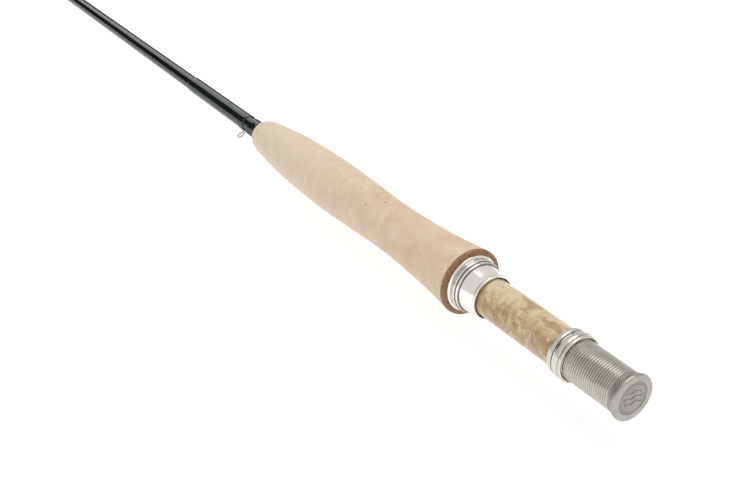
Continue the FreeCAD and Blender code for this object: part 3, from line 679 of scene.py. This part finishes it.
def make_nut(material):
    """Lock nut: chamfered mouth, a narrow lip, a groove and a broad bead."""
    first, last = stations("lock_nut")
    outer = width("lock_nut") / 2
    bore = width("threaded_barrel") / 2 + RUNNING_GAP
    profile = round_off([
        (first, 9.45, 0.1), (first + 0.9, bore, 0.1), (last, bore, 0.1),
        (last, outer - 0.62, 0.15), (last - 0.5, outer - 0.3, 0.3),
        (last - 1.2, outer - 0.03, 0.5), (last - 2.2, outer, 0.8), (first + 2.3, outer, 0.3),
        (first + 1.85, outer - 0.22, 0.15), (first + 1.6, outer - 0.35, 0.12),
        (first + 1.35, outer - 0.13, 0.2), (first + 0.35, outer - 0.12, 0.3),
        (first, outer - 0.45, 0.15),
    ])
    turned("lock_nut_ring", refine(profile, 0.5), material, "nut", ["lock_nut"], columns=192)


def make_slide_hood(material):
    """Slide hood: a short rounded band with a pocket for the reel's foot."""
    first, last = stations("slide_hood")
    outer = width("slide_hood") / 2
    bore = width("threaded_barrel") / 2 + RUNNING_GAP
    pocket = 9.4
    profile = round_off([
        (first, bore, 0.1), (first + 1.0, bore, 0.15), (first + 1.3, pocket, 0.15),
        (last, pocket, 0.1), (last, outer - 0.42, 0.2), (last - 0.45, outer - 0.06, 0.3),
        (last - 1.0, outer, 0.4), (first + 0.7, outer, 0.3), (first + 0.2, outer - 0.12, 0.2),
        (first, outer - 0.35, 0.15),
    ])
    turned("slide_hood_ring", refine(profile, 0.5), material, "hood", ["slide_hood"],
           columns=192)


def make_wood(material):
    first, last = stations("wood_insert")
    radius = width("wood_insert") / 2
    shoulder = stations("threaded_barrel")[1] + 0.05
    profile = round_off([
        (first, 6.0, 0), (last, 6.0, 0), (last, radius, 0.1), (shoulder, radius, 0.12),
        (shoulder, 7.25, 0), (first, 7.25, 0),
    ])
    turned("burl_insert", refine(profile, 0.6), material, "root", ["wood_insert"], columns=192,
           shape=flat_for_reel(MORTISE_START, MORTISE_END))


def make_fixed_hood(material):
    first, last = stations("fixed_hood")
    shoulder = stations("check_ring")[0]
    body = width("fixed_hood") / 2
    sleeve = body - 0.8
    seat = width("wood_insert") / 2 + 0.05
    profile = round_off([
        (first, 9.3, 0.15), (last - 2.0, 9.3, 0.2), (last - 2.0, seat, 0), (last, seat, 0),
        (last, sleeve, 0.1), (shoulder, sleeve, 0.05), (shoulder, body - 0.05, 0.25),
        (shoulder - 2.0, body - 0.32, 1.2), (shoulder - 5.0, body - 0.78, 1.8),
        (first + 2.6, body - 0.92, 0.8), (first + 1.25, body - 0.92, 0.12),
        (first + 0.95, body - 0.7, 0.18), (first + 0.15, body - 0.7, 0.25),
        (first, body - 0.95, 0.1),
    ])
    turned("fixed_hood_bell", refine(profile, 0.5), material, "root", ["fixed_hood"],
           columns=192)


def make_check_ring(material):
    """A bead, a grooved middle step and a rounded flange, over the fixed hood's sleeve."""
    first, last = stations("check_ring")
    flange = width("check_ring") / 2
    sleeve = width("fixed_hood") / 2 - 0.75
    bead = flange - 1.15
    step = flange - 0.75
    corners = [(first, sleeve, 0), (last - 1.2, sleeve, 0), (last - 1.2, 6.1, 0),
               (last, 6.1, 0), (last, flange - 0.25, 0.15), (last - 0.35, flange, 0.3),
               (first + 4.95, flange - 0.02, 0.3), (first + 4.72, flange - 0.5, 0.12)]
    for groove in (4.3, 3.6, 2.9):
        corners += [(first + groove + 0.24, step, 0.1), (first + groove, step - 0.28, 0.06),
                    (first + groove - 0.24, step, 0.1)]
    corners += [(first + 2.0, step - 0.12, 0.12), (first + 1.72, bead - 0.45, 0.08),
                (first + 1.45, bead, 0.3), (first + 0.3, bead, 0.4), (first, bead - 0.4, 0.15)]
    turned("check_ring_steps", refine(round_off(corners), 0.5), material, "root",
           ["check_ring"], columns=224)


# ---------------------------------------------------------------- grip

def make_trim(material):
    first, last = stations("trim_ring")
    radius = width("trim_ring") / 2
    profile = round_off([(first, 4.5, 0), (last, 4.5, 0), (last, radius - 0.03, 0.05),
                         (first, radius - 0.1, 0.35)])

    def crumble(s, r, angle):
        ripple = 0.02 * np.sin(31 * angle + 3 * s) + 0.015 * np.sin(53 * angle - 2 * s)
        return s, np.where(r > 6, r + ripple, r)

    turned("trim_ring_disc", refine(profile, 0.4), material, "root", ["trim_ring"], columns=256,
           shape=crumble)


def make_cork(material):
    """Cork rings cut from one smooth grip, each with eased edges and its own small pits."""
    names = ["cork_ring_%02d" % number for number in range(1, CORK_RINGS + 1)]
    along, radius = [], []
    for name in names:
        s, r = outer_profile(name, 4.9)
        along.append(s)
        radius.append(r)
    along = np.concatenate(along)
    radius = np.concatenate(radius)
    order = np.argsort(along)
    along, radius = along[order], radius[order]
    dense = np.linspace(along[0], along[-1], 900)
    level = np.interp(dense, along, radius)
    window = np.ones(9) / 9
    smooth = np.convolve(np.pad(level, 4, mode="edge"), window, mode="valid")
    for name in names:
        make_cork_ring(name, material, dense, smooth)


def make_cork_ring(name, material, dense, smooth):
    """One ring; its pits and its unevenness come from the seeded draws."""
    first, last = stations(name)
    inner = np.linspace(first, last, 34)
    outer = np.interp(inner, dense, smooth)
    outer[0] -= CORK_EASE
    outer[-1] -= CORK_EASE
    rim = np.stack([inner, outer], axis=-1)
    profile = np.vstack([rim, [[last, CORK_BORE], [first, CORK_BORE]]])
    pits = [(RNG.uniform(first + 0.8, last - 0.8), RNG.uniform(0, 2 * math.pi),
             RNG.uniform(0.25, 0.75), RNG.uniform(0.12, 0.4))
            for _ in range(RNG.integers(5, 11))]
    phases = RNG.uniform(0, 2 * math.pi, 6)

    def surface(s, r, angle):
        outside = r > CORK_BORE + 0.2
        around = r * angle
        waves = sum(np.sin(around * (1.1 + 0.9 * k) + s * (1.7 - 0.5 * k) + phases[k])
                    for k in range(6))
        moved = r + 0.006 * waves
        for where, turn, size, depth in pits:
            gap = np.abs((angle - turn + math.pi) % (2 * math.pi) - math.pi) * r
            reach = np.sqrt(((s - where) / size) ** 2 + (gap / (1.5 * size)) ** 2)
            moved = moved - depth * np.clip(1 - reach, 0, 1) ** 0.7
        return s, np.where(outside, moved, r)

    turned(name + "_turned", profile, material, "root", [name], columns=300, shape=surface)


def make_winding_check(material):
    first, last = stations("winding_check")
    radius = width("winding_check") / 2
    profile = round_off([(first, 4.1, 0), (first, radius, 0.3), (last, radius - 0.1, 0.4),
                         (last, 4.1, 0)])
    turned("winding_collar", refine(profile, 0.4), material, "root", ["winding_check"],
           columns=96)


# ---------------------------------------------------------------- blank, wraps and guides

def make_blank(node, body, material, socket=None):
    """A tapered tube; a socket, where there is one, is (depth, mouth radius, end radius)."""
    first, last = stations(node)
    along, radius = outer_profile(node, width(node) / 2 * 0.2)
    start = radius[0] if socket else width(node) / 2
    end = np.interp(last, along, radius)
    wall = 0.4 if end < 1.5 else 0.7
    if socket:
        depth, mouth, inner = socket
        corners = [(first, mouth, 0.05), (first, start, 0.25), (last, end, 0.15),
                   (last, end - wall, 0), (first + depth + 1.5, end - wall, 0),
                   (first + depth + 1.5, inner, 0), (first + depth, inner, 0)]
    else:
        corners = [(first, start - wall, 0), (first, start, 0), (last, end, 0.2),
                   (last, end - wall, 0.05)]
    profile = refine(round_off(corners), 12.0)
    turned(node + "_tube", profile, material, body, [node], columns=72)
    return lambda s: start + (end - start) * (s - first) / (last - first)


def wrap_profile(first, last, surface, build, run=1.1):
    """A wound band whose clear coat runs out onto the blank at both ends."""
    s = np.concatenate([np.linspace(first, first + run, 9),
                        np.linspace(first + run, last - run, 24)[1:-1],
                        np.linspace(last - run, last, 9)])
    share = np.clip(np.minimum(s - first, last - s) / run, 0, 1)
    rise = np.sqrt(1 - (1 - share) ** 2)
    outer = surface(s) + 0.015 + (build - 0.015) * rise
    inner = surface(s[[-1, 0]]) - 0.08
    return np.vstack([np.stack([s, outer], axis=-1), np.stack([s[[-1, 0]], inner], axis=-1)])


def make_wrap(name, nodes, first, last, surface, build, material, body, side=None, foot=0.0,
              foot_range=None):
    """A thread wrap; it swells over a guide's foot on the given side."""
    profile = wrap_profile(first, last, surface, build)
    fade_low, fade_high = foot_range or (first, last)

    def swell(s, r, angle):
        outside = r > surface(s) + 0.005
        unevenness = 0.012 * np.sin(s * 0.9 + 1.3) * np.sin(s * 0.37)
        out = r + np.where(outside, unevenness, 0)
        if side is not None:
            turn = np.abs((angle - side + math.pi) % (2 * math.pi) - math.pi)
            length = np.clip(np.minimum(s - fade_low, fade_high - s) / 1.0, 0, 1)
            ridge = foot * np.exp(-(turn * r / 0.75) ** 2) * length
            out = out + np.where(outside, ridge, 0)
        return s, out

    turned(name, profile, material, body, nodes, columns=96, shape=swell)


def keeper_points(surface):
    """The keeper's centre line in the plane of its loop: station and height."""
    low, high = stations("hook_keeper")
    middle = (low + high) / 2
    base = surface(middle) + 0.37
    half = 1.55
    crown = base + KEEPER_HEIGHT - 0.35
    path = [(low, base), (middle - 2.2, base), (middle - 1.35, base + 0.05)]
    path += [(middle - 0.75, base + 0.55), (middle - 0.95, base + 1.5)]
    path += [(middle - half, base + 2.9), (middle - half * 0.86, crown - 0.75)]
    path += [(middle - half * 0.42, crown - 0.1)]
    mirrored = [(2 * middle - s, h) for s, h in reversed(path)]
    return path + [(middle, crown)] + mirrored


def smooth_path(points, count):
    """A Catmull-Rom curve through points, evenly sampled."""
    points = np.asarray(points, float)
    padded = np.vstack([2 * points[0] - points[1], points, 2 * points[-1] - points[-2]])
    out = []
    for k in range(len(points) - 1):
        a, b, c, d = padded[k:k + 4]
        for t in np.linspace(0, 1, 12, endpoint=False):
            out.append(0.5 * (2 * b + (c - a) * t + (2 * a - 5 * b + 4 * c - d) * t ** 2
                              + (3 * b - a - 3 * c + d) * t ** 3))
    out.append(points[-1])
    out = np.array(out)
    length = np.concatenate([[0], np.cumsum(np.linalg.norm(np.diff(out, axis=0), axis=1))])
    even = np.linspace(0, length[-1], count)
    return np.stack([np.interp(even, length, out[:, k]) for k in range(out.shape[1])], axis=-1)


def make_keeper(material, surface):
    flat = smooth_path(keeper_points(surface), 110)
    across = np.array([math.cos(KEEPER_SIDE), math.sin(KEEPER_SIDE)])
    path = np.stack([-flat[:, 0], flat[:, 1] * across[0], flat[:, 1] * across[1]], axis=-1) * MM
    tube_along("hook_keeper_wire", path, KEEPER_WIRE * MM, material, "root", ["hook_keeper"],
               sides=18)


def guide_foot_wraps(node, body, surface, material, foot):
    """Visual wraps for a CAD node that holds two wraps, one for each foot."""
    points = np.empty(len(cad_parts[node].data.vertices) * 3)
    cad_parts[node].data.vertices.foreach_get("co", points)
    place = -points.reshape(-1, 3)[:, 0] / MM
    middle = (place.min() + place.max()) / 2
    near = place[place < middle]
    far = place[place > middle]
    for tag, part in (("near", near), ("far", far)):
        first, last = part.min(), part.max()
        make_wrap("%s_%s" % (node, tag), [node], first, last, surface, 0.28, material, body,
                  side=GUIDE_SIDE, foot=foot)


# ---------------------------------------------------------------- light, floor and camera

def area_light(name, place, target, size, energy):
    """A panel that lights the rod and shows in its reflections, but not in the picture."""
    light = bpy.data.lights.new(name, "AREA")
    light.shape = "RECTANGLE"
    light.size, light.size_y = size
    light.energy = energy
    lamp = bpy.data.objects.new(name, light)
    lamp.location = place
    aim = Vector(target) - Vector(place)
    lamp.rotation_euler = aim.to_track_quat("-Z", "Y").to_euler()
    lamp.visible_camera = False
    bpy.context.scene.collection.objects.link(lamp)


def make_world():
    """An even white tent that is open, and so darker, beyond the tip of the rod."""
    world = bpy.data.worlds.new("soft_studio")
    world.use_nodes = True
    nodes, links = world.node_tree.nodes, world.node_tree.links
    heading = nodes.new("ShaderNodeTexCoord").outputs["Generated"]
    parts = nodes.new("ShaderNodeSeparateXYZ")
    links.new(heading, parts.inputs[0])
    opening = nodes.new("ShaderNodeMapRange")
    opening.interpolation_type = "SMOOTHSTEP"
    links.new(parts.outputs[0], opening.inputs[0])
    for index, number in enumerate(TENT_EDGE + TENT_LIGHT, start=1):
        opening.inputs[index].default_value = number
    background = nodes["Background"]
    background.inputs["Color"].default_value = TENT_WHITE
    links.new(opening.outputs[0], background.inputs["Strength"])
    bpy.context.scene.world = world


def make_floor():
    tip, _, lowest = CAD_BOX[0]
    corners = [(tip / 2 + x * FLOOR_HALF, y * FLOOR_HALF, lowest)
               for x, y in ((-1, -1), (1, -1), (1, 1), (-1, 1))]
    mesh = bpy.data.meshes.new("floor")
    mesh.from_pydata(corners, [], [(0, 1, 2, 3)])
    mesh.materials.append(floor_material())
    floor = bpy.data.objects.new("floor", mesh)
    bpy.context.scene.collection.objects.link(floor)


def set_colour():
    """Plain display: a white surface in full light shows as white."""
    bpy.context.scene.view_settings.view_transform = "Standard"


def make_camera():
    camera = bpy.data.cameras.new("camera")
    camera.lens = CAMERA_LENS
    camera.sensor_width = 36.0
    camera.clip_start = 0.01
    holder = bpy.data.objects.new("camera", camera)
    right = Vector(CAMERA_RIGHT).normalized()
    back = Vector(CAMERA_BACK).normalized()
    up = back.cross(right).normalized()
    right = up.cross(back)
    turn = Matrix((right, up, back)).transposed().to_4x4()
    holder.matrix_world = Matrix.Translation(Vector(CAMERA_PLACE)) @ turn
    bpy.context.scene.collection.objects.link(holder)
    bpy.context.scene.camera = holder


# ---------------------------------------------------------------- the rod

def main():
    set_colour()
    make_camera()
    make_world()
    for light in LIGHTS:
        area_light(*light)
    make_floor()

    # One nickel silver in several copies; their different base colours are painted light and
    # painted shade set part by part, while roughness and turning lines give the finishes.
    satin = metal("satin_nickel_silver", NICKEL, NICKEL_SHADE, 0.36, 0.10, 0.01)
    # painted shade at the feet of the knurling on the cap's flare
    knurled = metal("knurled_nickel_silver", NICKEL, NICKEL_SHADE, 0.34, 0.10, 0.01,
                    hatch=KNURL_SPAN)
    sunk = metal("sunk_nickel_silver", NICKEL_SHADE, (0.31, 0.30, 0.28), 0.42, 0.10, 0.01)
    # painted shade at the foot of the barrel's thread
    threaded = metal("threaded_nickel_silver", (0.60, 0.57, 0.52), (0.48, 0.455, 0.415), 0.28,
                     0.10, 0.01, root=width("threaded_barrel") / 2 - THREAD_DEPTH)
    bright = metal("bright_nickel_silver", POLISHED_WITH_PAINTED_LIGHT, (0.88, 0.86, 0.82), 0.13, 0.06, 0.003)
    check = stations("check_ring")[0]
    # painted shade in the check ring's grooves and where it meets the fixed hood
    stepped = metal("stepped_nickel_silver", POLISHED_WITH_PAINTED_LIGHT, (0.86, 0.84, 0.80), 0.16, 0.06, 0.003,
                    grooves=[check + offset for offset in (0.0, 1.8, 2.9, 3.6, 4.3)])
    nut = stations("lock_nut")
    # painted shade in the nut's groove and in the gap between nut and slide hood
    beaded = metal("beaded_nickel_silver", (0.74, 0.71, 0.66), (0.63, 0.605, 0.56), 0.24, 0.06,
                   0.003, grooves=[nut[0] + 1.6, nut[1] + 0.05])
    graphite = graphite_material()
    thread = thread_material()
    wire = wire_material()

    make_cap(knurled)
    make_medallion(satin, sunk)
    make_barrel(threaded)
    make_nut(beaded)
    make_slide_hood(beaded)
    make_wood(burl_material())
    smooth_cad("seat_arbors", arbor_material())
    make_fixed_hood(bright)
    make_check_ring(stepped)
    rubber = trim_material()
    make_trim(rubber)
    first_cork = stations("cork_ring_01")
    make_cork(cork_material(first_cork[0], first_cork[1] - first_cork[0]))
    make_winding_check(rubber)

    overlap = stations("butt_blank")[1] - stations("second_blank")[0]
    surface = make_blank("butt_blank", "root", graphite)
    below = surface
    surfaces = {}
    for name, body in (("second", "section_2"), ("third", "section_3"), ("tip", "section_4")):
        first, _ = stations(name + "_blank")
        socket = (overlap, below(first) + SOCKET_GAP, below(first + overlap) + SOCKET_GAP)
        below = make_blank(name + "_blank", body, graphite, socket)
        surfaces[body] = below
        start, end = stations(name + "_ferrule_wrap")
        make_wrap(name + "_ferrule_band", [name + "_ferrule_wrap"], start, end, below, 0.24,
                  thread, body)

    start, end = stations("keeper_wrap")
    keeper_start, keeper_end = stations("hook_keeper")
    make_wrap("keeper_band", ["keeper_wrap"], start, end, surface, 0.55, thread, "root",
              side=KEEPER_SIDE, foot=0.34, foot_range=(keeper_start - 0.5, end + 2))
    start, end = stations("signature_wrap")
    make_wrap("signature_band", ["signature_wrap"], start, end, surface, 0.42, thread, "root",
              side=KEEPER_SIDE, foot=0.38, foot_range=(start - 2, keeper_end + 0.5))
    make_keeper(wire, surface)

    smooth_cad("stripping_guide_frame", wire)
    smooth_cad("stripping_guide_liner", ceramic_material())
    guide_foot_wraps("stripping_guide_wraps", "section_2", surfaces["section_2"], thread, 1.1)
    for number in SNAKE_GUIDES:
        body = "section_%d" % (2 if number == 1 else 3 if number < 4 else 4)
        smooth_cad("snake_guide_%d" % number, wire)
        guide_foot_wraps("guide_wraps_%d" % number, body, surfaces[body], thread, 0.75)
    smooth_cad("tip_top_tube", wire)
    smooth_cad("tip_top_loop", wire)
    start, end = stations("tip_wrap")
    make_wrap("tip_band", ["tip_wrap"], start, end, surfaces["section_4"], 0.28, thread,
              "section_4")


main()
